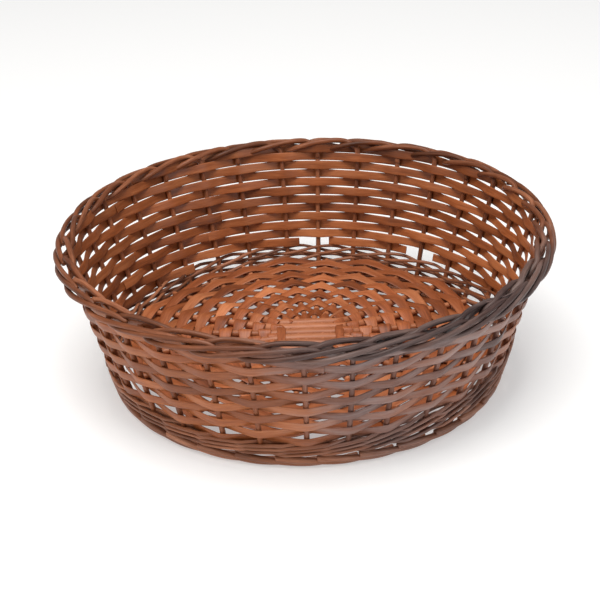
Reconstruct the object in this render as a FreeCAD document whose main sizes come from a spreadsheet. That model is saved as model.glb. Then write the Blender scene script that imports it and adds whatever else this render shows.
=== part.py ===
import FreeCAD, Part
import Sketcher

import math
import os

# A round woven fruit basket: a stick-and-splint base held a little above the table, a side of flat
# splints woven round upright stakes, a three-rod wale under them, a rolled top border and a foot
# border. Millimetres, +Z up, origin on the table under the middle of the base.

DIMENSIONS = (
    ("stake_count", 32, "upright stakes round the side"),
    ("first_stake_angle", -91.7, "direction of the first stake, degrees from +X"),
    ("stake_radius", 1.9, "radius of a stake"),
    ("stake_bottom", 12.2, "height of the stakes' lower ends"),
    ("stake_top", 119.8, "height of the stakes' upper ends"),
    ("wall_radius_at_table", 154.5, "radius of the ring of stakes, carried down to the table"),
    ("wall_lean", 15.9, "lean of the stakes from upright, degrees"),
    ("weave_clearance", 0.15, "gap between a weaver and the stick that it passes"),
    ("splint_thickness", 1.0, "thickness of every flat splint"),
    ("side_row_count", 11, "rows of flat splints up the side"),
    ("side_row_first", 34.2, "height of the middle of the lowest row"),
    ("side_row_pitch", 8.05, "height from one row to the next"),
    ("side_splint_width", 7.6, "width of a side splint, along the slope"),
    ("base_level", 24.2, "height of the middles of the base sticks"),
    ("base_stick_reach", 155.0, "distance of the base sticks' ends from the middle"),
    ("spoke_step", 15.0, "angle from one base spoke to the next, degrees"),
    ("across_radius", 3.8, "radius of a slit stick, which runs along X in the middle"),
    ("across_pitch", 7.8, "distance from one slit stick to the next"),
    ("across_bend", 26.0, "distance from the middle at which the slit sticks fan out"),
    ("along_radius", 2.5, "radius of a stick that is pushed through the slits"),
    ("along_pitch", 6.6, "distance from one pushed stick to the next"),
    ("along_bend", 28.0, "distance from the middle at which the pushed sticks fan out"),
    ("slit_length", 38.6, "length of the slit in the slit sticks"),
    ("slit_height", 5.2, "height of the slit in the slit sticks"),
    ("binding_radius", 30.6, "radius of the splint that ties the middle of the base"),
    ("binding_width", 6.0, "width of that splint"),
    ("base_row_count", 14, "rounds of flat splints in the base"),
    ("base_row_first", 38.6, "radius of the middle of the innermost round"),
    ("base_row_pitch", 8.2, "distance from one round to the next"),
    ("base_splint_width", 7.2, "width of a base splint"),
    ("wale_round_count", 3, "rounds of the three-rod wale"),
    ("wale_first", 15.6, "height of the middle of the lowest wale round"),
    ("wale_pitch", 5.9, "height from one wale round to the next"),
    ("wale_rod_radius", 1.4, "radius of a wale rod"),
    ("wale_rise", 1.55, "how far a wale rod runs above and below its round's middle"),
    ("wale_first_start", 9, "stake at which the lowest wale round begins"),
    ("wale_start_step", 8, "stakes from the start of one wale round to that of the next"),
    ("border_rod_radius", 2.1, "radius of a top border rod"),
    ("foot_rod_radius", 2.75, "radius of a foot border rod"),
    ("foot_wear", 0.25, "how much of the foot rods is worn flat where they stand"),
)

STRANDS = ("a", "b", "c")

# One top border rod, as (stakes passed, radius, height): from its lower outer end, up the outside,
# over the top, down at the inner edge and back under the next rods to its hidden end.
TOP_BORDER_PATH = (
    (0.0, 197.6, 115.6),
    (1.25, 197.9, 119.6),
    (2.15, 195.9, 123.2),
    (2.85, 191.8, 125.2),
    (3.5, 187.8, 123.4),
    (4.0, 190.8, 120.7),
    (4.45, 194.0, 119.1),
    (5.35, 194.2, 119.0),
)

# One foot border rod, as (stakes passed, radius, rise above where it lies on the table): from its
# cut outer end down to the table, and in under the wall to its hidden end.
FOOT_BORDER_PATH = (
    (0.0, 157.0, 6.4),
    (0.9, 156.7, 3.8),
    (1.8, 155.2, 0.7),
    (2.3, 153.2, 0.0),
    (3.0, 149.6, 0.0),
)


def make_sheet(doc):
    """Puts every driving dimension in the spreadsheet, under its alias."""
    sheet = doc.addObject("Spreadsheet::Sheet", "dims")
    for row, (alias, number, meaning) in enumerate(DIMENSIONS, start=1):
        sheet.set(f"A{row}", meaning)
        sheet.set(f"B{row}", str(number))
        sheet.setAlias(f"B{row}", alias)
    doc.recompute()
    return sheet


doc = FreeCAD.newDocument("fruit_basket")
sheet = make_sheet(doc)
size = {alias: float(sheet.get(alias)) for alias, _, _ in DIMENSIONS}

STAKES = int(size["stake_count"])
STAKE_STEP = 360.0 / STAKES
LEAN = math.radians(size["wall_lean"])
UP = FreeCAD.Vector(0, 0, 1)


def polar(angle, radius, height):
    """The point at an angle in degrees, a radius and a height."""
    turn = math.radians(angle)
    return FreeCAD.Vector(radius * math.cos(turn), radius * math.sin(turn), height)


def wall_radius(height):
    """Radius of the middle of the stakes at a height."""
    return size["wall_radius_at_table"] + height * math.tan(LEAN)


def turned_to_first_stake():
    """The placement of everything that is woven round the stakes."""
    turn = FreeCAD.Rotation(UP, size["first_stake_angle"])
    return FreeCAD.Placement(FreeCAD.Vector(0, 0, 0), turn)


def add_feature(name, shape, placement):
    """A sub-part whose shape is worked out here, because no primitive makes a woven piece."""
    feature = doc.addObject("Part::Feature", name)
    feature.Label = name
    feature.Shape = shape
    feature.Placement = placement
    return feature


def origin_feature(body, role):
    """A body's own origin plane or axis, by its role."""
    return next(item for item in body.Origin.OriginFeatures if item.Role == role)


def add_sketch(body, name, plane):
    """An empty sketch on one of a body's origin planes."""
    sketch = body.newObject("Sketcher::SketchObject", name)
    sketch.AttachmentSupport = [(origin_feature(body, plane), "")]
    sketch.MapMode = "FlatFace"
    return sketch


def bind(sketch, kind, places, name, start, expression):
    """Adds one named dimension to a sketch and binds it to the spreadsheet."""
    index = sketch.addConstraint(Sketcher.Constraint(kind, *places, start))
    sketch.renameConstraint(index, name)
    sketch.setExpression(f"Constraints.{name}", expression)


def add_base_stick(name, kind, rank, turn):
    """One base stick: straight across the middle, its two ends fanned out as spokes.

    rank counts from the middle of its set of sticks, and turn is 0 or 180 for the slit sticks,
    90 or 270 for those pushed through them.
    """
    steps = rank - 0.5
    fan = math.radians(steps * size["spoke_step"])
    offset = steps * size[f"{kind}_pitch"]
    reach = size["base_stick_reach"]
    bend = size[f"{kind}_bend"]

    body = doc.addObject("PartDesign::Body", name)
    body.Label = name

    path = add_sketch(body, f"{name}_path", "XY_Plane")
    knee = FreeCAD.Vector(bend, offset, 0)
    tip = FreeCAD.Vector(reach * math.cos(fan), reach * math.sin(fan), 0)
    path.addGeometry(Part.LineSegment(FreeCAD.Vector(0, offset, 0), knee))
    path.addGeometry(Part.LineSegment(knee, tip))
    path.addConstraint(Sketcher.Constraint("Coincident", 0, 2, 1, 1))
    path.addConstraint(Sketcher.Constraint("PointOnObject", 0, 1, -2))
    path.addConstraint(Sketcher.Constraint("Horizontal", 0))
    bind(path, "DistanceY", (-1, 1, 0, 1), "offset", offset, f"dims.{kind}_pitch * {steps}")
    bind(path, "DistanceX", (-1, 1, 0, 2), "bend", bend, f"dims.{kind}_bend")
    fan_expression = f"(dims.spoke_step * {steps})"
    bind(path, "DistanceX", (-1, 1, 1, 2), "tip_x", tip.x,
         f"dims.base_stick_reach * cos{fan_expression}")
    bind(path, "DistanceY", (-1, 1, 1, 2), "tip_y", tip.y,
         f"dims.base_stick_reach * sin{fan_expression}")

    section = add_sketch(body, f"{name}_section", "YZ_Plane")
    radius = size[f"{kind}_radius"]
    section.addGeometry(Part.Circle(FreeCAD.Vector(offset, 0, 0), UP, radius))
    section.addConstraint(Sketcher.Constraint("PointOnObject", 0, 3, -1))
    bind(section, "DistanceX", (-1, 1, 0, 3), "offset", offset, f"dims.{kind}_pitch * {steps}")
    bind(section, "Radius", (0,), "radius", radius, f"dims.{kind}_radius")
    doc.recompute()

    half = body.newObject("PartDesign::AdditivePipe", f"{name}_half")
    half.Profile = section
    half.Spine = (path, ["Edge1", "Edge2"])
    half.Transition = "Right corner"
    both = body.newObject("PartDesign::Mirrored", f"{name}_both")
    both.Originals = [half]
    both.MirrorPlane = (origin_feature(body, "YZ_Plane"), [""])
    body.Tip = both

    if kind == "across":
        slit = body.newObject("PartDesign::SubtractiveBox", f"{name}_slit")
        slit.setExpression("Length", "dims.slit_length")
        slit.setExpression("Width", "dims.across_radius * 2 + 2")
        slit.setExpression("Height", "dims.slit_height")
        slit.setExpression("Placement.Base.x", "-dims.slit_length / 2")
        slit.setExpression(
            "Placement.Base.y", f"dims.across_pitch * {steps} - dims.across_radius - 1")
        slit.setExpression("Placement.Base.z", "-dims.slit_height / 2")
        body.Tip = slit

    body.Placement = FreeCAD.Placement(FreeCAD.Vector(0, 0, 0), FreeCAD.Rotation(UP, turn))
    body.setExpression("Placement.Base.z", "dims.base_level")
    return body


def add_base_sticks():
    """Six slit sticks along X and six pushed through them along Y."""
    sticks = []
    for kind, turns in (("across", (180, 0)), ("along", (90, 270))):
        ranks = (3, 2, 1)
        places = [(rank, turns[0]) for rank in ranks] + [(rank, turns[1]) for rank in ranks[::-1]]
        for number, (rank, turn) in enumerate(places, start=1):
            sticks.append(add_base_stick(f"base_stick_{kind}_{number}", kind, rank, turn))
    return sticks


def spokes_at(radius):
    """Where a ring of this radius meets the 24 spokes, as (angle, stick kind), in turn."""
    spokes = []
    for kind, middle_angle in (("across", 0), ("along", 90)):
        for rank in (1, 2, 3):
            steps = rank - 0.5
            fan = math.radians(steps * size["spoke_step"])
            knee = FreeCAD.Vector(size[f"{kind}_bend"], steps * size[f"{kind}_pitch"], 0)
            tip = FreeCAD.Vector(math.cos(fan), math.sin(fan), 0) * size["base_stick_reach"]
            leg = (tip - knee).normalize()
            along = knee.dot(leg)
            run = math.sqrt(along**2 - knee.Length**2 + radius**2) - along
            point = knee + leg * run
            angle = math.degrees(math.atan2(point.y, point.x))
            for side in (angle, -angle, 180 + angle, 180 - angle):
                spokes.append(((middle_angle + side) % 360, kind))
    return sorted(spokes)


def closed_band(sections):
    """A closed band through four-cornered sections, straight from each to the next."""
    wires = [Part.makePolygon([*corners, corners[0]]) for corners in sections]
    return Part.makeLoft(wires, True, True, True)


def base_splint(radius, width, is_over):
    """A flat splint round the base, which lies over or under each spoke that it meets."""
    half_width = width / 2
    half_thickness = size["splint_thickness"] / 2
    sections = []
    for number, (angle, kind) in enumerate(spokes_at(radius)):
        rise = size[f"{kind}_radius"] + half_thickness + size["weave_clearance"]
        level = rise if is_over(number, kind) else -rise
        sections.append([
            polar(angle, radius - half_width, level - half_thickness),
            polar(angle, radius + half_width, level - half_thickness),
            polar(angle, radius + half_width, level + half_thickness),
            polar(angle, radius - half_width, level + half_thickness),
        ])
    return closed_band(sections)


def add_base_splints():
    """The tie round the middle of the base, and the rounds of splints outside it."""
    level = FreeCAD.Placement(FreeCAD.Vector(0, 0, size["base_level"]), FreeCAD.Rotation())
    tie = base_splint(
        size["binding_radius"], size["binding_width"], lambda number, kind: kind == "across")
    splints = [add_feature("base_binding_splint", tie, level)]
    for row in range(int(size["base_row_count"])):
        radius = size["base_row_first"] + row * size["base_row_pitch"]
        shape = base_splint(
            radius, size["base_splint_width"], lambda number, kind: (number + row) % 2 == 0)
        splints.append(add_feature(f"base_splint_{row + 1:02d}", shape, level))
    return splints


def add_side_stakes():
    """The ring of leaning stakes, as one body of separate solids."""
    body = doc.addObject("PartDesign::Body", "side_stakes")
    body.Label = "side_stakes"
    body.AllowCompound = True
    stake = body.newObject("PartDesign::AdditiveCylinder", "stake")
    stake.setExpression("Radius", "dims.stake_radius")
    stake.setExpression("Height", "(dims.stake_top - dims.stake_bottom) / cos(dims.wall_lean)")
    stake.Placement = FreeCAD.Placement(
        FreeCAD.Vector(0, 0, 0), FreeCAD.Rotation(FreeCAD.Vector(0, 1, 0), size["wall_lean"]))
    stake.setExpression(
        "Placement.Base.x",
        "dims.wall_radius_at_table + dims.stake_bottom * tan(dims.wall_lean)")
    stake.setExpression("Placement.Base.z", "dims.stake_bottom")
    stake.setExpression("Placement.Rotation.Angle", "dims.wall_lean")
    ring = body.newObject("PartDesign::PolarPattern", "ring_of_stakes")
    ring.Originals = [stake]
    ring.Axis = (origin_feature(body, "Z_Axis"), [""])
    ring.Angle = 360
    ring.setExpression("Occurrences", "dims.stake_count")
    body.Tip = ring
    body.Placement = turned_to_first_stake()
    body.setExpression("Placement.Rotation.Angle", "dims.first_stake_angle")
    return body


def side_splint(height, first_is_outside):
    """A flat splint round the side, outside one stake and inside the next."""
    half_width = size["side_splint_width"] / 2
    half_thickness = size["splint_thickness"] / 2
    offset = size["stake_radius"] + half_thickness + size["weave_clearance"]
    corners = (
        (-half_width, -half_thickness),
        (-half_width, half_thickness),
        (half_width, half_thickness),
        (half_width, -half_thickness),
    )
    sections = []
    for stake in range(STAKES):
        outside = (stake % 2 == 0) == first_is_outside
        middle = offset if outside else -offset
        section = []
        for up_slope, outward in corners:
            across = middle + outward
            radius = wall_radius(height) + up_slope * math.sin(LEAN) + across * math.cos(LEAN)
            level = height + up_slope * math.cos(LEAN) - across * math.sin(LEAN)
            section.append(polar(stake * STAKE_STEP, radius, level))
        sections.append(section)
    return closed_band(sections)


def add_side_splints():
    """The rows of flat splints up the side, the lowest one outside the first stake."""
    splints = []
    for row in range(int(size["side_row_count"])):
        height = size["side_row_first"] + row * size["side_row_pitch"]
        shape = side_splint(height, row % 2 == 0)
        splints.append(add_feature(f"side_splint_{row + 1:02d}", shape, turned_to_first_stake()))
    return splints


def rod(points, radius):
    """A round rod along straight runs, with its corners mitred."""
    start = (points[1] - points[0]).normalize()
    section = Part.Wire(Part.Edge(Part.Circle(points[0], start, radius)))
    sweep = Part.BRepOffsetAPI.MakePipeShell(Part.makePolygon(points))
    sweep.setTransitionMode(1)
    sweep.add(section)
    sweep.build()
    sweep.makeSolid()
    return sweep.shape()


def wale_rod(height, start, strand):
    """One rod of a three-rod wale: in front of two stakes, over its fellows, behind the third.

    It begins at the start stake and ends just before it comes round to it again.
    """
    out = size["stake_radius"] + size["wale_rod_radius"] + size["weave_clearance"]
    rise = size["wale_rise"]
    cycle = ((out, -rise), (out, 0), (out, rise), (0, rise), (-out, 0), (0, -rise))
    points = []
    for half_step in range(2 * start, 2 * (start + STAKES)):
        outward, level = cycle[(half_step + 2 * strand) % len(cycle)]
        angle = half_step * STAKE_STEP / 2
        points.append(polar(angle, wall_radius(height) + outward, height + level))
    return rod(points, size["wale_rod_radius"])


def add_wale():
    """The three rounds of wale, each of three rods that are one stake out of step."""
    rods = []
    for turn in range(int(size["wale_round_count"])):
        height = size["wale_first"] + turn * size["wale_pitch"]
        start = int(size["wale_first_start"] + turn * size["wale_start_step"])
        for strand, letter in enumerate(STRANDS):
            name = f"lower_wale_{turn + 1}_rod_{letter}"
            shape = wale_rod(height, start, strand)
            rods.append(add_feature(name, shape, turned_to_first_stake()))
    return rods


def ring_of_rods(path, lift, radius):
    """The same curved rod at every stake, each lying over the next one's hidden end."""
    points = [
        polar(stakes * STAKE_STEP, distance, lift + level) for stakes, distance, level in path
    ]
    first = rod(points, radius)
    rods = []
    for stake in range(STAKES):
        copy = first.copy()
        copy.rotate(FreeCAD.Vector(0, 0, 0), UP, stake * STAKE_STEP)
        rods.append(copy)
    return rods


def add_top_border():
    """The rolled border: one rod from each stake, laid over the rim and tucked in."""
    rods = ring_of_rods(TOP_BORDER_PATH, 0.0, size["border_rod_radius"])
    return add_feature("top_border_rods", Part.makeCompound(rods), turned_to_first_stake())


def add_foot_border():
    """The foot border, worn flat where it stands on the table."""
    reach = size["wall_radius_at_table"] * 2
    below = Part.makeBox(2 * reach, 2 * reach, reach, FreeCAD.Vector(-reach, -reach, -reach))
    lying = size["foot_rod_radius"] - size["foot_wear"]
    rods = ring_of_rods(FOOT_BORDER_PATH, lying, size["foot_rod_radius"])
    worn = [one.cut(below).Solids[0] for one in rods]
    return add_feature("foot_border_rods", Part.makeCompound(worn), turned_to_first_stake())


def check(features):
    """Stops unless every object recomputed well and every sub-part is a sound solid."""
    doc.recompute()
    for item in doc.Objects:
        if "Invalid" in item.State or "Error" in item.State:
            raise RuntimeError(f"{item.Label} did not recompute: {item.State}")
    for feature in features:
        shape = feature.Shape
        if shape.isNull() or not shape.isValid() or not shape.Solids:
            raise RuntimeError(f"{feature.Label} has no sound solid")


subparts = [
    *add_base_sticks(),
    *add_base_splints(),
    add_side_stakes(),
    *add_wale(),
    *add_side_splints(),
    add_top_border(),
    add_foot_border(),
]
check(subparts)
os.makedirs("parts", exist_ok=True)
for subpart in subparts:
    subpart.Shape.exportStep(f"parts/{subpart.Label}.step")
    print(subpart.Label, len(subpart.Shape.Solids), round(subpart.Shape.Volume, 1))
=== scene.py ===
"""The looks of the woven willow fruit basket: the CAD frame's rods and splints, woven again less regularly."""

import math

import bpy
import numpy as np
from mathutils import Matrix, Vector


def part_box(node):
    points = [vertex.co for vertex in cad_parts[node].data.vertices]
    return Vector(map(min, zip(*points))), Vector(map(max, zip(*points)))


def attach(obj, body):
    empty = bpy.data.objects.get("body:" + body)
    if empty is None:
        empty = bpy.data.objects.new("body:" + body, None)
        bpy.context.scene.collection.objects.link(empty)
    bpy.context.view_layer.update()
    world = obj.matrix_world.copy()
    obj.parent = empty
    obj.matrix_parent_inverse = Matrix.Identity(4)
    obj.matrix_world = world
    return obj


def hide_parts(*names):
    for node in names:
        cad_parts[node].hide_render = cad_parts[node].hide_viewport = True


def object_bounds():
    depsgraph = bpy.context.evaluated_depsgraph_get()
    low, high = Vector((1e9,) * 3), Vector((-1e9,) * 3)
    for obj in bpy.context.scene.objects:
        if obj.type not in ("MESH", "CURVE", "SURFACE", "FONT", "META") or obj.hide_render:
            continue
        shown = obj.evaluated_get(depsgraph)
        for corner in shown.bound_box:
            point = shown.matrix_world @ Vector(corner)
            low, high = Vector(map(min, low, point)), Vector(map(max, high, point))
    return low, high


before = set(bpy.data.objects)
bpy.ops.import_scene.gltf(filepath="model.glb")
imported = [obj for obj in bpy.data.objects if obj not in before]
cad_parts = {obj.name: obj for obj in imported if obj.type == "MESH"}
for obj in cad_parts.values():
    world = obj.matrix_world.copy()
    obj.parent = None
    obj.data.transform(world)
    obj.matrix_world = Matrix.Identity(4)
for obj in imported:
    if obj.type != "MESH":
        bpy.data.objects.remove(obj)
cad_low, cad_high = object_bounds()

# Sizes are in millimetres, heights from the table, and become metres when a mesh is made.
MM = 0.001
SEED = 41

# Sizes read from the frame.
RIM = cad_high.x / MM
TOP = cad_high.z / MM


def node_span(node):
    """(widest radius, middle height) of a CAD node, in mm."""
    low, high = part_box(node)
    return high.x / MM, (low.z + high.z) / 2 / MM


SIDE_NODES = sorted(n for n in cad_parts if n.startswith("side_splint_"))
BASE_NODES = sorted(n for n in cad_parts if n.startswith("base_splint_"))
ACROSS_NODES = sorted(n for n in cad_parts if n.startswith("base_stick_across_"))
ALONG_NODES = sorted(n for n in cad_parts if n.startswith("base_stick_along_"))
WALE_NODES = sorted(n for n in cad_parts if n.startswith("lower_wale_"))

# The stakes stand round the wall, and the first one stands at the middle of the front.
STAKES = 32
STEP = 2 * math.pi / STAKES
FIRST_STAKE = math.radians(-91.7)
STAKE_RADIUS = 2.05
STAKE_BOTTOM = 12.2
STAKE_TOP = TOP - 17.9

# A CAD splint's wave stands this far out of the wall's middle line.
CAD_WAVE = 3.05
(low_radius, low_height), (high_radius, high_height) = node_span(SIDE_NODES[0]), node_span(SIDE_NODES[-1])
WALL_SLOPE = (high_radius - low_radius) / (high_height - low_height)
WALL_FOOT = low_radius - CAD_WAVE - WALL_SLOPE * low_height
WALL_LEAN = math.atan(WALL_SLOPE)

SPLINT_WIDTH = 7.6
SPLINT_THICKNESS = 1.15
WEAVE_SLACK = 0.45
WEAVE = STAKE_RADIUS + SPLINT_THICKNESS / 2 + WEAVE_SLACK


def wall_radius(z):
    return WALL_FOOT + WALL_SLOPE * z


def smooth_turn(points):
    """A smooth closed curve through (stakes round from the first, value) points, as a function of the angle."""
    places = np.array([p[0] for p in points], float)
    values = np.array([p[1] for p in points], float)
    fine = np.arange(0, STAKES, 0.25)
    raw = np.interp(fine, places, values, period=STAKES)
    near = np.hanning(13)
    near /= near.sum()
    soft = np.convolve(np.concatenate([raw[-6:], raw, raw[:6]]), near, "valid")

    def at(angle):
        return np.interp((np.asarray(angle) - FIRST_STAKE) / STEP % STAKES, fine, soft, period=STAKES)

    return at


def wander(rng, size, lobes):
    """A slow random drift round the basket, at most about size, as a function of the angle."""
    counts = rng.integers(max(1, lobes // 3), lobes + 1, 5)
    shifts = rng.uniform(0, 2 * math.pi, 5)
    sizes = rng.uniform(0.4, 1, 5)
    sizes *= size / sizes.sum()

    def at(angle):
        angle = np.asarray(angle, float)
        return sum(s * np.sin(n * angle + p) for n, p, s in zip(counts, shifts, sizes))

    return at


# The side is woven with two weavers, which chase each other and climb two rows in each turn.
# These are the height at which the first would start at each stake, and the height of one row.
weave_start = smooth_turn(
    [
        (0, 26.7), (1, 26.4), (2, 30.8), (3, 34.6), (4, 36.1), (6, 35.7),
        (10, 33.8), (16, 29.2), (20, 29.2), (23, 29.9), (28, 28.0), (30, 25.8),
    ]
)
row_pitch = smooth_turn(
    [
        (0, 7.86), (4, 7.5), (10, 7.35), (16, 7.5), (20, 7.5), (23, 7.6),
        (28, 7.8),
    ]
)
wale_top = smooth_turn(
    [
        (0, 22.4), (1, 22.8), (2, 26.5), (3, 31.3), (4, 33.4), (6, 34.8),
        (10, 34.3), (12, 34.6), (14, 34.6), (16, 36.2), (19, 33.4), (21, 28),
        (23, 28.6), (27, 28.8), (29, 24.4), (31, 22.2),
    ]
)
WALE_FOOT = 12.0

# How far the rim stands above or below its mean height: it is higher at the back and right than at the front.
rim_rise = smooth_turn(
    [
        (0, -3.4), (4, -2.9), (8, 1.2), (10, 3.0), (12, 3.2), (16, 1.3),
        (20, 1.3), (24, 0.7), (28, -1.4),
    ]
)
RIM_UNDER = TOP - 7.6
PRESS = 1.6  # how softly the rows stop at the rim


def row_height(weaver, number):
    """The middle of a weaver (0 or 1) at a stake number that counts on from turn to turn.

    Under the rim the rows are pressed together.
    """
    angle = stake_angle(number)
    free = weave_start(angle) + (weaver + number / (STAKES / 2)) * row_pitch(angle)
    ceiling = RIM_UNDER + rim_rise(angle)
    return free - PRESS * np.log1p(np.exp((free - ceiling) / PRESS))


stake_rng = np.random.default_rng(SEED)
STAKE_SHIFT = stake_rng.uniform(-0.06, 0.06, STAKES) - 0.15 * (1 - np.cos(np.arange(STAKES) * STEP))


def stake_angle(number):
    """The angle of a stake, which stands a little off its even place.

    number may be beyond one turn, or between two stakes.
    """
    whole = np.floor(number).astype(int)
    part = number - whole
    shift = STAKE_SHIFT[whole % STAKES] * (1 - part) + STAKE_SHIFT[(whole + 1) % STAKES] * part
    return FIRST_STAKE + (number + shift) * STEP


def turn(angle):
    """Unit vectors pointing out of the basket at these angles."""
    angle = np.asarray(angle, float)
    return np.stack([np.cos(angle), np.sin(angle), np.zeros_like(angle)], -1)


def wave(phase):
    """A splint's path past stakes: 1 outside one stake, -1 inside the next, nearly straight between."""
    return (np.cos(phase) + 0.08 * np.cos(3 * phase)) / 1.08


# Cross-sections, as (across, out) shares of the half width and half thickness.
ROUND = [(math.cos(a), math.sin(a)) for a in np.arange(12) * math.pi / 6]
SPLINT = [
    (-1.0, -0.25), (-0.95, -0.8), (-0.8, -1.0), (-0.3, -0.95), (0.3, -0.95), (0.8, -1.0), (0.95, -0.8),
    (1.0, -0.25), (0.96, 0.45), (0.8, 0.8), (0.3, 1.05), (-0.3, 1.05), (-0.8, 0.8), (-0.96, 0.45),
]  # fmt: skip


class Weave:
    """Collects rods and splints into one mesh object, with the grain of each written on its points."""

    def __init__(self, name, seed):
        self.name = name
        self.rng = np.random.default_rng(seed)
        self.points, self.grain, self.faces, self.count = [], [], [], 0

    def sweep(self, path, across, out, half_width, half_thickness, section, closed=False, cut=0.0):
        """A rod or splint along path. across and out span its cross-section.

        Its ends are cut square, or slanted by cut.
        """
        path, across, out = (np.asarray(a, float) for a in (path, across, out))
        n, m = len(path), len(section)
        u = np.array([s[0] for s in section])
        v = np.array([s[1] for s in section])
        wide = np.broadcast_to(half_width, n)
        thick = np.broadcast_to(half_thickness, n)
        length = np.concatenate([[0], np.cumsum(np.linalg.norm(np.diff(path, axis=0), axis=1))])
        if not closed:
            along = path[1] - path[0], path[-1] - path[-2]
            along = [a / np.linalg.norm(a) for a in along]
            bevel = 0.25 * min(float(thick[0]), float(wide[0]))
            first, last = path[0] - along[0] * bevel, path[-1] + along[1] * bevel
            path = np.concatenate([[first], path, [last]])
            across = np.concatenate([across[:1], across, across[-1:]])
            out = np.concatenate([out[:1], out, out[-1:]])
            length = np.concatenate([[0], length, length[-1:]])
            wide = np.concatenate([[wide[0] - bevel], wide, [wide[-1] - bevel]])
            thick = np.concatenate([[thick[0] - bevel], thick, [thick[-1] - bevel]])
            n += 2
        ring = (
            path[:, None]
            + across[:, None] * (wide[:, None] * u)[..., None]
            + out[:, None] * (thick[:, None] * v)[..., None]
        )
        if cut and not closed:
            ring[:2] -= along[0] * (v * cut)[None, :, None]
            ring[-2:] += along[1] * (v * cut)[None, :, None]
        around = np.concatenate([[0], np.cumsum(np.hypot(np.diff(u) * wide.mean(), np.diff(v) * thick.mean()))])
        tint = self.rng.uniform(0, 1)
        start = self.rng.uniform(0, 900)
        grain = np.empty((n, m, 3))
        grain[..., 0] = length[:, None] + start
        grain[..., 1] = around
        grain[..., 2] = tint
        base = self.count
        rows = np.arange(n if closed else n - 1)
        i, j = np.meshgrid(rows, np.arange(m), indexing="ij")
        a, b = i * m + j, i * m + (j + 1) % m
        c, d = ((i + 1) % n) * m + (j + 1) % m, ((i + 1) % n) * m + j
        quads = np.stack([a, b, c, d], -1).reshape(-1, 4) + base
        self.faces += quads.tolist()
        if not closed:
            self.faces.append([base + k for k in range(m)][::-1])
            self.faces.append([base + (n - 1) * m + k for k in range(m)])
        self.points.append(ring.reshape(-1, 3))
        self.grain.append(grain.reshape(-1, 3))
        self.count += n * m

    def rod(self, path, radius, closed=False, cut=0.0):
        """A round rod, with the slow swellings of a real one."""
        path = np.asarray(path, float)
        along = np.gradient(path, axis=0)
        along /= np.linalg.norm(along, axis=1)[:, None]
        centre = np.array([0, 0, 1.0])
        side = np.cross(along, centre)
        weak = np.linalg.norm(side, axis=1) < 0.3
        side[weak] = np.cross(along[weak], turn(np.arctan2(path[weak, 1], path[weak, 0])))
        side /= np.linalg.norm(side, axis=1)[:, None]
        for k in range(1, len(side)):
            side[k] -= along[k] * (side[k] @ along[k])
            blend = side[k - 1] - along[k] * (side[k - 1] @ along[k])
            side[k] = blend / np.linalg.norm(blend)
        up = np.cross(side, along)
        shift = self.rng.uniform(0, 2 * math.pi, 2)
        place = np.linspace(0, 1, len(path)) * len(path) * 0.06
        uneven = 1 + 0.025 * np.sin(place * 2.1 + shift[0]) + 0.02 * np.sin(place * 5.3 + shift[1])
        self.sweep(path, side, up, radius * uneven, radius * uneven, ROUND, closed, cut)

    def finish(self, material, slot, *nodes):
        """Makes the object, which stands for these CAD nodes."""
        mesh = bpy.data.meshes.new(self.name)
        points = np.concatenate(self.points) * MM
        mesh.from_pydata(points.tolist(), [], self.faces)
        attribute = mesh.attributes.new("grain", "FLOAT_VECTOR", "POINT")
        attribute.data.foreach_set("vector", np.concatenate(self.grain).astype(np.float32).ravel())
        mesh.polygons.foreach_set("use_smooth", [True] * len(mesh.polygons))
        mesh.materials.append(material)
        mesh.validate()
        mesh.update()
        piece = bpy.data.objects.new(self.name, mesh)
        bpy.context.scene.collection.objects.link(piece)
        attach(piece, "root")
        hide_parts(*nodes)
        return piece


def curve_through(points, step=2.0):
    """A smooth line through points, about step mm between samples."""
    points = np.asarray(points, float)
    gaps = np.linalg.norm(np.diff(points, axis=0), axis=1) ** 0.5
    place = np.concatenate([[0], np.cumsum(gaps)])
    slopes = np.gradient(points, place, axis=0)
    samples = max(8, int(np.linalg.norm(np.diff(points, axis=0), axis=1).sum() / step))
    at = np.linspace(0, place[-1], samples)
    k = np.clip(np.searchsorted(place, at, "right") - 1, 0, len(points) - 2)
    h = (place[k + 1] - place[k])[:, None]
    t = (at[:, None] - place[k][:, None]) / h
    return (
        (2 * t**3 - 3 * t**2 + 1) * points[k]
        + (t**3 - 2 * t**2 + t) * h * slopes[k]
        + (3 * t**2 - 2 * t**3) * points[k + 1]
        + (t**3 - t**2) * h * slopes[k + 1]
    )


# ---------------------------------------------------------------- materials

ROUGHNESS = (0.34, 0.56)
SHEEN_TONES = (0.03, 0.045, 0.055), (0.21, 0.21, 0.225)  # the dark and light tones of the painted cool-grey sheen
BUMP = 0.35


def node(tree, kind, **settings):
    made = tree.nodes.new(kind)
    for key, value in settings.items():
        if key in made.inputs:
            made.inputs[key].default_value = value
        else:
            setattr(made, key, value)
    return made


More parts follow.
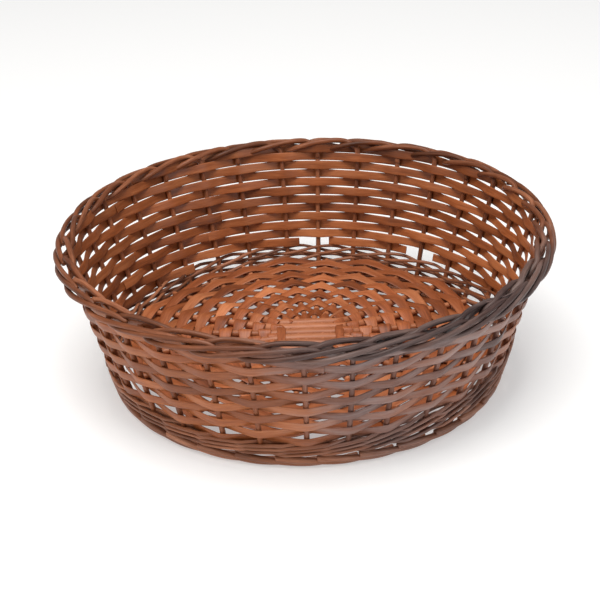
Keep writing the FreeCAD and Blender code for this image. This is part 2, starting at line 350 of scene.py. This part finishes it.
def willow(name, dark, middle, light, coat=0.08, gloss=0.3, painted_sheen=0.0, sheen_tones=SHEEN_TONES):
    """Peeled and boiled willow. Its grain attribute is (mm along, mm round, a number for each rod)."""
    material = bpy.data.materials.new(name)
    material.use_nodes = True
    tree = material.node_tree
    shader = tree.nodes["Principled BSDF"]
    link = tree.links.new
    grain = node(tree, "ShaderNodeAttribute", attribute_name="grain")
    parts = node(tree, "ShaderNodeSeparateXYZ")
    link(grain.outputs["Vector"], parts.inputs[0])

    def streaks(along, across, offset, detail):
        """Noise drawn out along the rod: scales per mm along and round it."""
        scaled = node(tree, "ShaderNodeCombineXYZ")
        for axis, scale in ((0, along), (1, across), (2, offset)):
            times = node(tree, "ShaderNodeMath", operation="MULTIPLY")
            times.inputs[1].default_value = scale
            link(parts.outputs[axis], times.inputs[0])
            link(times.outputs[0], scaled.inputs[axis])
        made = node(tree, "ShaderNodeTexNoise", Scale=1.0, Detail=detail, Roughness=0.6)
        link(scaled.outputs[0], made.inputs["Vector"])
        return made.outputs["Fac"]

    fine = streaks(0.09, 1.7, 91.0, 4.0)
    broad = streaks(0.022, 0.16, 37.0, 2.0)
    tone = streaks(0.006, 0.0, 53.0, 1.0)

    def mixed(first, second, share):
        """first * (1 - share) + second * share, for numbers."""
        made = node(tree, "ShaderNodeMix", data_type="FLOAT")
        made.inputs[0].default_value = share
        link(first, made.inputs[2])
        link(second, made.inputs[3])
        return made.outputs[0]

    blend = mixed(mixed(fine, broad, 0.5), tone, 0.45)
    ramp = node(tree, "ShaderNodeValToRGB")
    ramp.color_ramp.elements[0].position = 0.36
    ramp.color_ramp.elements[0].color = (*dark, 1)
    ramp.color_ramp.elements[1].position = 0.66
    ramp.color_ramp.elements[1].color = (*light, 1)
    centre = ramp.color_ramp.elements.new(0.5)
    centre.color = (*middle, 1)
    link(blend, ramp.inputs[0])
    tint = node(tree, "ShaderNodeMapRange")
    tint.inputs["To Min"].default_value = 0.8
    tint.inputs["To Max"].default_value = 1.16
    link(parts.outputs[2], tint.inputs[0])
    shade = node(tree, "ShaderNodeHueSaturation", Saturation=1.0)
    link(ramp.outputs[0], shade.inputs["Color"])
    link(tint.outputs[0], shade.inputs["Value"])
    colour = shade.outputs[0]
    if painted_sheen:
        # Painted sheen: the willow is painted a cool grey in patches, on both faces, most of all at the front and
        # right, where the cool light's reflection falls.
        place = node(tree, "ShaderNodeTexCoord")
        facing = node(tree, "ShaderNodeVectorMath", operation="DOT_PRODUCT")
        facing.inputs[1].default_value = (2.8, -4.1, 1.2)
        link(place.outputs["Object"], facing.inputs[0])
        patch = node(tree, "ShaderNodeTexNoise", Scale=17.0, Detail=2.0, Roughness=0.5)
        link(place.outputs["Object"], patch.inputs["Vector"])
        added = node(tree, "ShaderNodeMath", operation="ADD")
        link(facing.outputs["Value"], added.inputs[0])
        link(mixed(patch.outputs["Fac"], broad, 0.5), added.inputs[1])
        sheen_share = node(tree, "ShaderNodeMapRange", interpolation_type="SMOOTHSTEP")
        sheen_share.inputs["From Min"].default_value = 1.1
        sheen_share.inputs["From Max"].default_value = 1.6
        sheen_share.inputs["To Max"].default_value = painted_sheen
        link(added.outputs[0], sheen_share.inputs[0])
        over = node(tree, "ShaderNodeMix", data_type="RGBA")
        shades = node(tree, "ShaderNodeMix", data_type="RGBA")
        shades.inputs[6].default_value = (*sheen_tones[0], 1)
        shades.inputs[7].default_value = (*sheen_tones[1], 1)
        streaky = node(tree, "ShaderNodeMapRange")
        streaky.inputs["From Min"].default_value = 0.4
        streaky.inputs["From Max"].default_value = 0.62
        link(blend, streaky.inputs[0])
        link(streaky.outputs[0], shades.inputs[0])
        link(shades.outputs[2], over.inputs[7])
        link(sheen_share.outputs[0], over.inputs[0])
        link(colour, over.inputs[6])
        colour = over.outputs[2]
    link(colour, shader.inputs["Base Color"])
    rough = node(tree, "ShaderNodeMapRange")
    rough.inputs["To Min"].default_value = ROUGHNESS[0]
    rough.inputs["To Max"].default_value = ROUGHNESS[1]
    link(broad, rough.inputs[0])
    link(rough.outputs[0], shader.inputs["Roughness"])
    bump = node(tree, "ShaderNodeBump", Strength=BUMP, Distance=0.00025)
    link(fine, bump.inputs["Height"])
    link(bump.outputs[0], shader.inputs["Normal"])
    shader.inputs["Specular IOR Level"].default_value = gloss
    shader.inputs["Coat Weight"].default_value = coat
    shader.inputs["Coat Roughness"].default_value = 0.35
    return material


# Where a material is given a sheen share, its rods are painted a cool-grey sheen in patches at the front and
# right.
SPLINT_WOOD = willow(
    "willow_side_splint",
    (0.11, 0.027, 0.007),
    (0.275, 0.077, 0.022),
    (0.47, 0.165, 0.060),
    painted_sheen=0.68,
)
BASE_WOOD = willow(
    "willow_base_splint",
    (0.12, 0.028, 0.007),
    (0.30, 0.080, 0.024),
    (0.52, 0.185, 0.075),
)
STICK_WOOD = willow(
    "willow_base_stick",
    (0.20, 0.058, 0.020),
    (0.38, 0.125, 0.050),
    (0.52, 0.215, 0.110),
)
STAKE_WOOD = willow(
    "willow_stake",
    (0.10, 0.026, 0.008),
    (0.21, 0.060, 0.020),
    (0.34, 0.115, 0.045),
    painted_sheen=0.4,
)
WALE_WOOD = willow(
    "willow_wale_rod",
    (0.09, 0.025, 0.009),
    (0.22, 0.072, 0.029),
    (0.44, 0.175, 0.088),
    painted_sheen=0.5,
)
# The border rods' colours are darker than the other rods', and their patch tones near black: painted shade of the
# dark gaps between the rods at the front.
BORDER_WOOD = willow(
    "willow_border_rod",
    (0.05, 0.014, 0.005),
    (0.17, 0.052, 0.020),
    (0.40, 0.158, 0.080),
    coat=0.02,
    gloss=0.24,
    painted_sheen=0.75,
    sheen_tones=((0.012, 0.014, 0.018), (0.12, 0.105, 0.105)),
)
FOOT_WOOD = willow(
    "willow_foot_rod",
    (0.09, 0.026, 0.010),
    (0.24, 0.086, 0.040),
    (0.44, 0.190, 0.105),
    painted_sheen=0.4,
)

# ---------------------------------------------------------------- stakes

STAKE_SAMPLES = 48
STAKE_BOW = 0.8  # how far a stake bows to one side at its middle, at most
STAKE_MIDDLE = 60  # about the middle of the wall's height

stakes = Weave("willow_stakes", SEED + 1)
for number in range(STAKES):
    angle = stake_angle(np.array([float(number)]))[0]
    heights = np.linspace(STAKE_BOTTOM, STAKE_TOP + rim_rise(angle), STAKE_SAMPLES)
    bow = np.sin(np.linspace(0, math.pi, STAKE_SAMPLES))
    sway = stakes.rng.uniform(-STAKE_BOW, STAKE_BOW) * bow / wall_radius(STAKE_MIDDLE)
    path = turn(angle + sway) * wall_radius(heights)[:, None]
    path[:, 2] = heights
    stakes.rod(path, STAKE_RADIUS * np.linspace(1.06, 1.0, STAKE_SAMPLES))
stakes.finish(STAKE_WOOD, "side_stake", "side_stakes")

# ---------------------------------------------------------------- side splints

LAP = 1.15  # stakes that a splint's end laps over its start
LAP_RISE = 0.5  # stakes over which a lapping end lifts off the next length
LAP_GAP = 0.12
ROW_DRIFT = 0.45
WIDTH_DRIFT = 0.05
SQUEEZE = 0.05  # Between two stakes a splint is squeezed by its neighbours, and they cross there.
NARROWER_RIGHT = 0.065  # Splints at the right are narrower by this share, and those at the left wider.
SPLINT_SAMPLE = 0.055  # stakes between two samples of a splint's path


def side_splint(weave, weaver, start, end, lap=LAP):
    """A length of weaver 0 or 1, from one stake number to another. Its end laps over the next length.

    Weaver 0 is outside the first stake, and weaver 1 is inside it.
    """
    rng = weave.rng
    number = np.arange(start, end + lap, SPLINT_SAMPLE)
    angle = stake_angle(number)
    outside = 1 if weaver == 0 else -1
    offset = outside * WEAVE * wave(number * math.pi)
    height = row_height(weaver, number) + wander(rng, ROW_DRIFT, 9)(angle)
    over = np.clip((number - end) / LAP_RISE, 0, 1) if lap else np.zeros_like(number)
    over = over * over * (3 - 2 * over) * (SPLINT_THICKNESS + LAP_GAP)
    swell = wander(rng, WIDTH_DRIFT, 14)(angle) + SQUEEZE * np.cos(2 * math.pi * number)
    wide = SPLINT_WIDTH * (1 + swell - NARROWER_RIGHT * np.cos(angle)) / 2
    out = turn(angle)
    lean = turn(angle) * math.cos(WALL_LEAN)
    lean[:, 2] = -math.sin(WALL_LEAN)
    across = turn(angle) * math.sin(WALL_LEAN)
    across[:, 2] = math.cos(WALL_LEAN)
    path = out * wall_radius(height)[:, None]
    path[:, 2] = height
    path += lean * (offset + over * rng.choice([-1, 1]))[:, None]
    weave.sweep(path, across, lean, wide, SPLINT_THICKNESS / 2, SPLINT)


# Where each weaver is joined, in stakes counted on from turn to turn.
JOINTS = {
    0: [16.6, 51.2, 82.7, 121.4, 152.6, 192.6],
    1: [-12.2, 21.3, 53.6, 95.3, 127.3, 148.6, 181.6],
}
# The short splints under the lowest row, from one stake number to another.
SHORT_SPLINTS = [(-2.9, 12.6), (13.45, 15.75)]

for row, cad_node in enumerate(SIDE_NODES):
    weaver, length = (row + 1) % 2, row // 2
    joints = JOINTS[weaver]
    weave = Weave(f"willow_side_splint_{row + 1:02d}", SEED + 101 + row)
    last = length == len(joints) - 2
    side_splint(weave, weaver, joints[length], joints[length + 1], 0 if last else LAP)
    if row == 0:
        # Two short splints lie under the lowest row, one from the front to the right and one at the back.
        for first, end in SHORT_SPLINTS:
            side_splint(weave, 0, first, end, 0)
    weave.finish(SPLINT_WOOD, "side_splint", cad_node)

# ---------------------------------------------------------------- lower wale

WALE_RADIUS = 1.45
WALE_GAP = 0.1  # between a rod and the stakes it passes
WALE_START = 9  # the stake at which the first rod starts
WALE_CLIMB = 0.42  # how far a rod climbs over the others, as a share of a round
rounds = len(WALE_NODES) // 3
for index, cad_node in enumerate(WALE_NODES):
    layer, strand = divmod(index, 3)
    weave = Weave(cad_node.replace("lower_wale", "willow_wale"), SEED + 200 + index)
    rng = weave.rng
    start = WALE_START + strand
    number = np.arange(start, start + STAKES + 0.5, 0.06)
    angle = stake_angle(number)
    # In three stakes each rod passes outside two of them and inside one, climbing over the other two rods.
    phase = (number - strand) / 3 * 2 * math.pi
    swing = np.clip(0.35 + 1.25 * np.cos(phase), -1, 1)
    offset = (STAKE_RADIUS + WALE_RADIUS + WALE_GAP) * swing
    share = (layer + (number - start) / STAKES) / rounds
    middle = WALE_FOOT + (wale_top(angle) - WALE_FOOT) * share
    rise = (wale_top(angle) - WALE_FOOT) / rounds * WALE_CLIMB
    height = middle + rise * np.sin(phase - 0.2) + wander(rng, 0.5, 12)(angle)
    path = turn(angle) * (wall_radius(height) + offset)[:, None]
    path[:, 2] = height
    weave.rod(path, WALE_RADIUS * (1 + wander(rng, 0.12, 6)(angle)), cut=0.8)
    weave.finish(WALE_WOOD, "wale_rod", cad_node)

# ---------------------------------------------------------------- top border

# The path of one border rod: (stakes passed, mm inside the rim's outline, mm under the rim's top).
BORDER_PATH = [
    (0.00, 14.2, 17.9),
    (0.00, 13.0, 13.4),
    (0.02, 11.7, 9.9),
    (0.14, 10.0, 6.9),
    (0.30, 8.6, 4.4),
    (0.50, 10.2, 2.8),
    (0.70, 11.6, 2.7),
    (1.00, 13.1, 3.7),
    (1.30, 14.3, 5.6),
    (1.50, 13.8, 7.5),
    (1.65, 11.6, 10.0),
    (1.80, 8.2, 11.8),
    (2.00, 4.2, 12.9),
    (2.30, 2.3, 12.6),
    (2.60, 1.6, 10.9),
    (3.00, 1.9, 8.5),
    (3.40, 2.7, 6.4),
    (3.80, 3.9, 5.1),
    (4.10, 5.0, 4.6),
    (4.30, 6.0, 5.6),
    (4.45, 7.0, 7.4),
]
BORDER_BUTT = 2.3
BORDER_TIP = 2.0

weave = Weave("willow_top_border", SEED + 300)
for number in range(STAKES):
    rng = weave.rng
    stretch = rng.normal(0, 0.05)
    inward, lower = rng.normal(0, 0.2), rng.normal(0, 0.2)
    points = []
    for passed, inside, under in BORDER_PATH:
        angle = stake_angle(np.array([number + passed * (1 + stretch * min(passed, 2) / 4)]))[0]
        loose = min(passed, 1.0)
        lift = float(rim_rise(angle))
        radius = RIM - inside - inward * loose + lift * WALL_SLOPE
        points.append([math.cos(angle) * radius, math.sin(angle) * radius, TOP - under - lower * loose + lift])
    path = curve_through(points, 1.8)
    weave.rod(path, np.linspace(BORDER_BUTT, BORDER_TIP, len(path)) * rng.uniform(0.94, 1.06))
weave.finish(BORDER_WOOD, "border_rod", "top_border_rods")

# ---------------------------------------------------------------- foot border

# The path of one foot rod: (stakes passed, radius, mm above the height at which it lies on the table).
FOOT_PATH = [
    (0.00, 159.8, 5.0),
    (0.45, 159.8, 4.2),
    (0.90, 159.3, 2.7),
    (1.40, 158.4, 0.9),
    (1.80, 157.2, 0.1),
    (2.30, 154.8, 0.0),
    (3.00, 151.0, 0.0),
]
FOOT_RADIUS = 2.75

weave = Weave("willow_foot_border", SEED + 400)
for number in range(STAKES):
    rng = weave.rng
    turned = rng.normal(0, 0.06)
    points = []
    for passed, radius, rise in FOOT_PATH:
        angle = stake_angle(np.array([number + 0.35 + passed + turned]))[0]
        points.append([math.cos(angle) * radius, math.sin(angle) * radius, FOOT_RADIUS + rise])
    path = curve_through(points, 1.8)
    weave.rod(path, np.linspace(FOOT_RADIUS, FOOT_RADIUS * 0.72, len(path)), cut=0.6)
weave.finish(FOOT_WOOD, "foot_rod", "foot_border_rods")

# ---------------------------------------------------------------- base

BASE_LEVEL = 25.4
BASE_CROWN = 3.2
BASE_TILT = 1.2  # how far the back of the base stands above its middle
BASE_REACH = 147.0
ACROSS_PITCH = 9.0
ALONG_PITCH = 6.7
BASE_CENTRE = (2.7, -3.0)
SPOKE_STEP = math.radians(15)


def base_height(x, y):
    """The middle of the base's weaving: it crowns a little, and rises to the back."""
    away = np.minimum(np.hypot(x, y) / BASE_REACH, 1)
    return BASE_LEVEL + BASE_CROWN * (1 - away**2) + BASE_TILT * np.asarray(y) / BASE_REACH


def across_radius(away):
    """The radius of a thick stick of the base, which thins to its ends."""
    return np.interp(away, [0, 26, 45, 80, 155], [4.3, 4.2, 3.0, 2.6, 2.2])


def along_radius(away):
    """A thin stick of the base, which passes through the thick ones."""
    return np.interp(away, [0, 60, 155], [2.5, 2.5, 2.1])


def base_stick_line(index, pitch, straight_half):
    """The plan of a base stick that runs along X in the middle and fans out to a spoke at each end."""
    place = index - 2.5
    offset = place * pitch
    spoke = place * SPOKE_STEP
    end = np.array([BASE_REACH * math.cos(spoke), BASE_REACH * math.sin(spoke)])
    near = np.array([straight_half, offset])
    reach = end - near
    plan = [near + reach * t for t in (0.25, 0.5, 0.75, 1.0)]
    plan = [(0, offset), (straight_half * 0.55, offset), (straight_half, offset * 1.04), *map(tuple, plan)]
    mirrored = [(-x, y) for x, y in plan[:0:-1]]
    return mirrored + plan


def placed(plan, quarter):
    """Plan points on the base, turned by quarter turns, lifted to the base's height."""
    x, y = plan[:, 0], plan[:, 1]
    if quarter:
        x, y = -y, x
    inner = np.clip(1.3 - np.hypot(x, y) / BASE_REACH, 0, 1)
    x = x + BASE_CENTRE[0] * inner
    y = y + BASE_CENTRE[1] * inner
    return np.stack([x, y, base_height(x, y)], -1)


for index, cad_node in enumerate(ACROSS_NODES):
    weave = Weave(cad_node.replace("base_stick", "willow_base_stick"), SEED + 500 + index)
    plan = np.array(base_stick_line(index, ACROSS_PITCH, 26))
    path = placed(curve_through(np.column_stack([plan, np.zeros(len(plan))]), 3.0)[:, :2], 0)
    weave.rod(path, across_radius(np.hypot(path[:, 0], path[:, 1])))
    weave.finish(STICK_WOOD, "base_stick", cad_node)

for index, cad_node in enumerate(ALONG_NODES):
    weave = Weave(cad_node.replace("base_stick", "willow_base_stick"), SEED + 520 + index)
    plan = np.array(base_stick_line(index, ALONG_PITCH, 28))
    path = placed(curve_through(np.column_stack([plan, np.zeros(len(plan))]), 3.0)[:, :2], 1)
    weave.rod(path, along_radius(np.hypot(path[:, 0], path[:, 1])))
    weave.finish(STICK_WOOD, "base_stick", cad_node)

BASE_SPLINT_WIDTH = 10.3
BASE_SPLINT_THICKNESS = 1.1
BASE_SLACK = 0.6  # between a spoke and the splint over it
CAD_BASE_SPLINT = 7.2  # the width of a CAD base splint
base_first = node_span(BASE_NODES[0])[0] - CAD_BASE_SPLINT / 2
base_pitch = (node_span(BASE_NODES[-1])[0] - node_span(BASE_NODES[0])[0]) / (len(BASE_NODES) - 1)


def base_ring(weave, row):
    """One round of base splint, over one spoke and under the next. Round 0 is the innermost of the CAD's."""
    rng = weave.rng
    radius = base_first + base_pitch * row
    turns = np.arange(0, 2 * math.pi, 2.0 / radius)
    side = 1 if row % 2 else -1
    # Spokes stand at odd multiples of half a spoke step.
    phase = (turns / SPOKE_STEP - 0.5) * math.pi
    steep = np.abs(np.sin(turns)) > math.sin(math.radians(45))
    rise = np.where(steep, along_radius(radius), across_radius(radius))
    rise = rise + BASE_SPLINT_THICKNESS / 2 + BASE_SLACK
    rise = np.convolve(np.tile(rise, 3), np.ones(9) / 9, "same")[len(turns) : 2 * len(turns)]
    plan = np.stack([np.cos(turns), np.sin(turns)], -1) * (radius + wander(rng, 0.6, 7)(turns))[:, None]
    path = placed(plan, 0)
    path[:, 2] += side * rise * wave(phase)
    across = turn(turns)
    up = np.zeros_like(across)
    up[:, 2] = 1
    wide = BASE_SPLINT_WIDTH / 2 * (1 + wander(rng, 0.04, 12)(turns) + 0.12 * np.cos(2 * phase))
    weave.sweep(path, across, up, wide, BASE_SPLINT_THICKNESS / 2, SPLINT[::-1], closed=True)


for row, cad_node in enumerate(BASE_NODES):
    weave = Weave(cad_node.replace("base_splint", "willow_base_splint"), SEED + 540 + row)
    base_ring(weave, row)
    if row == 0:
        base_ring(weave, -1)
    weave.finish(BASE_WOOD, "base_splint", cad_node)

# The splint that ties the crossing: a square with rounded corners, over the thick sticks and under the thin ones.
TIE_HALF = 24.0
TIE_CORNER = 31.0
TIE_RISE = 4.9
weave = Weave("willow_base_binding", SEED + 580)
turns = np.arange(0, 2 * math.pi, 0.02)
square = TIE_HALF / np.maximum(np.abs(np.cos(turns)), np.abs(np.sin(turns)))
plan = np.stack([np.cos(turns), np.sin(turns)], -1) * np.minimum(square, TIE_CORNER)[:, None]
near = np.hanning(15) / np.hanning(15).sum()
middle = slice(len(turns), 2 * len(turns))
plan = np.stack([np.convolve(np.tile(c, 3), near, "same")[middle] for c in plan.T], -1)
path = placed(plan, 0)
path[:, 2] += TIE_RISE * np.cos(2 * turns)
across = turn(turns)
up = np.zeros_like(across)
up[:, 2] = 1
weave.sweep(path, across, up, 3.6, 0.55, SPLINT[::-1], closed=True)
weave.finish(BASE_WOOD, "base_splint", "base_binding_splint")

# ---------------------------------------------------------------- room, light and camera


def plane(name, size, colour):
    mesh = bpy.data.meshes.new(name)
    mesh.from_pydata([(-size, -size, 0), (size, -size, 0), (size, size, 0), (-size, size, 0)], [], [(0, 1, 2, 3)])
    made = bpy.data.objects.new(name, mesh)
    bpy.context.scene.collection.objects.link(made)
    material = bpy.data.materials.new(name)
    material.use_nodes = True
    shader = material.node_tree.nodes["Principled BSDF"]
    shader.inputs["Base Color"].default_value = (*colour, 1)
    shader.inputs["Roughness"].default_value = 0.9
    shader.inputs["Emission Color"].default_value = (1, 1, 1, 1)
    shader.inputs["Emission Strength"].default_value = 0.4
    mesh.materials.append(material)
    return made


floor = plane("floor", 6.0, (0.6, 0.6, 0.6))
floor.location.z = -0.0005

world = bpy.data.worlds.new("studio")
world.use_nodes = True
world.node_tree.nodes["Background"].inputs[0].default_value = (1.0, 1.0, 1.0, 1)
world.node_tree.nodes["Background"].inputs[1].default_value = 0.3
bpy.context.scene.world = world


def softbox(name, place, target, size, colour, power):
    light = bpy.data.lights.new(name, "AREA")
    light.shape = "RECTANGLE"
    light.size, light.size_y = size
    light.color = colour
    light.energy = power
    made = bpy.data.objects.new(name, light)
    made.location = place
    made.rotation_mode = "QUATERNION"
    made.rotation_quaternion = (Vector(target) - Vector(place)).to_track_quat("-Z", "Y")
    bpy.context.scene.collection.objects.link(made)
    return made


softbox("softbox_top", (-0.15, -0.45, 2.0), (0, 0, 0.05), (1.3, 1.3), (1.0, 0.985, 0.96), 45)
softbox("softbox_left", (-1.7, -1.3, 1.1), (0, 0, 0.06), (1.5, 1.5), (1.0, 0.93, 0.86), 13)
softbox("softbox_right", (1.5, -1.3, 0.6), (0.05, -0.1, 0.06), (0.7, 0.7), (0.82, 0.92, 1.0), 8)

# The camera is set by the rim's radius, in metres.
RIM_RADIUS = 0.2
ELEVATION = math.radians(27.26)
ROLL = math.radians(-1.87)
DISTANCE = 6.8 * RIM_RADIUS
camera_data = bpy.data.cameras.new("camera")
camera_data.sensor_width = 36
camera_data.lens = 99.07
camera_data.shift_x = -0.01093
camera_data.shift_y = 0.0189
camera = bpy.data.objects.new("camera", camera_data)
target = Vector((0, 0, 0.25 * RIM_RADIUS))
back = Vector((0, -math.cos(ELEVATION), math.sin(ELEVATION)))
look = (-back).to_track_quat("-Z", "Y").to_matrix().to_4x4()
camera.matrix_world = Matrix.Translation(target + back * DISTANCE) @ look @ Matrix.Rotation(ROLL, 4, "Z")
bpy.context.scene.collection.objects.link(camera)
bpy.context.scene.camera = camera
bpy.context.scene.view_settings.view_transform = "Standard"
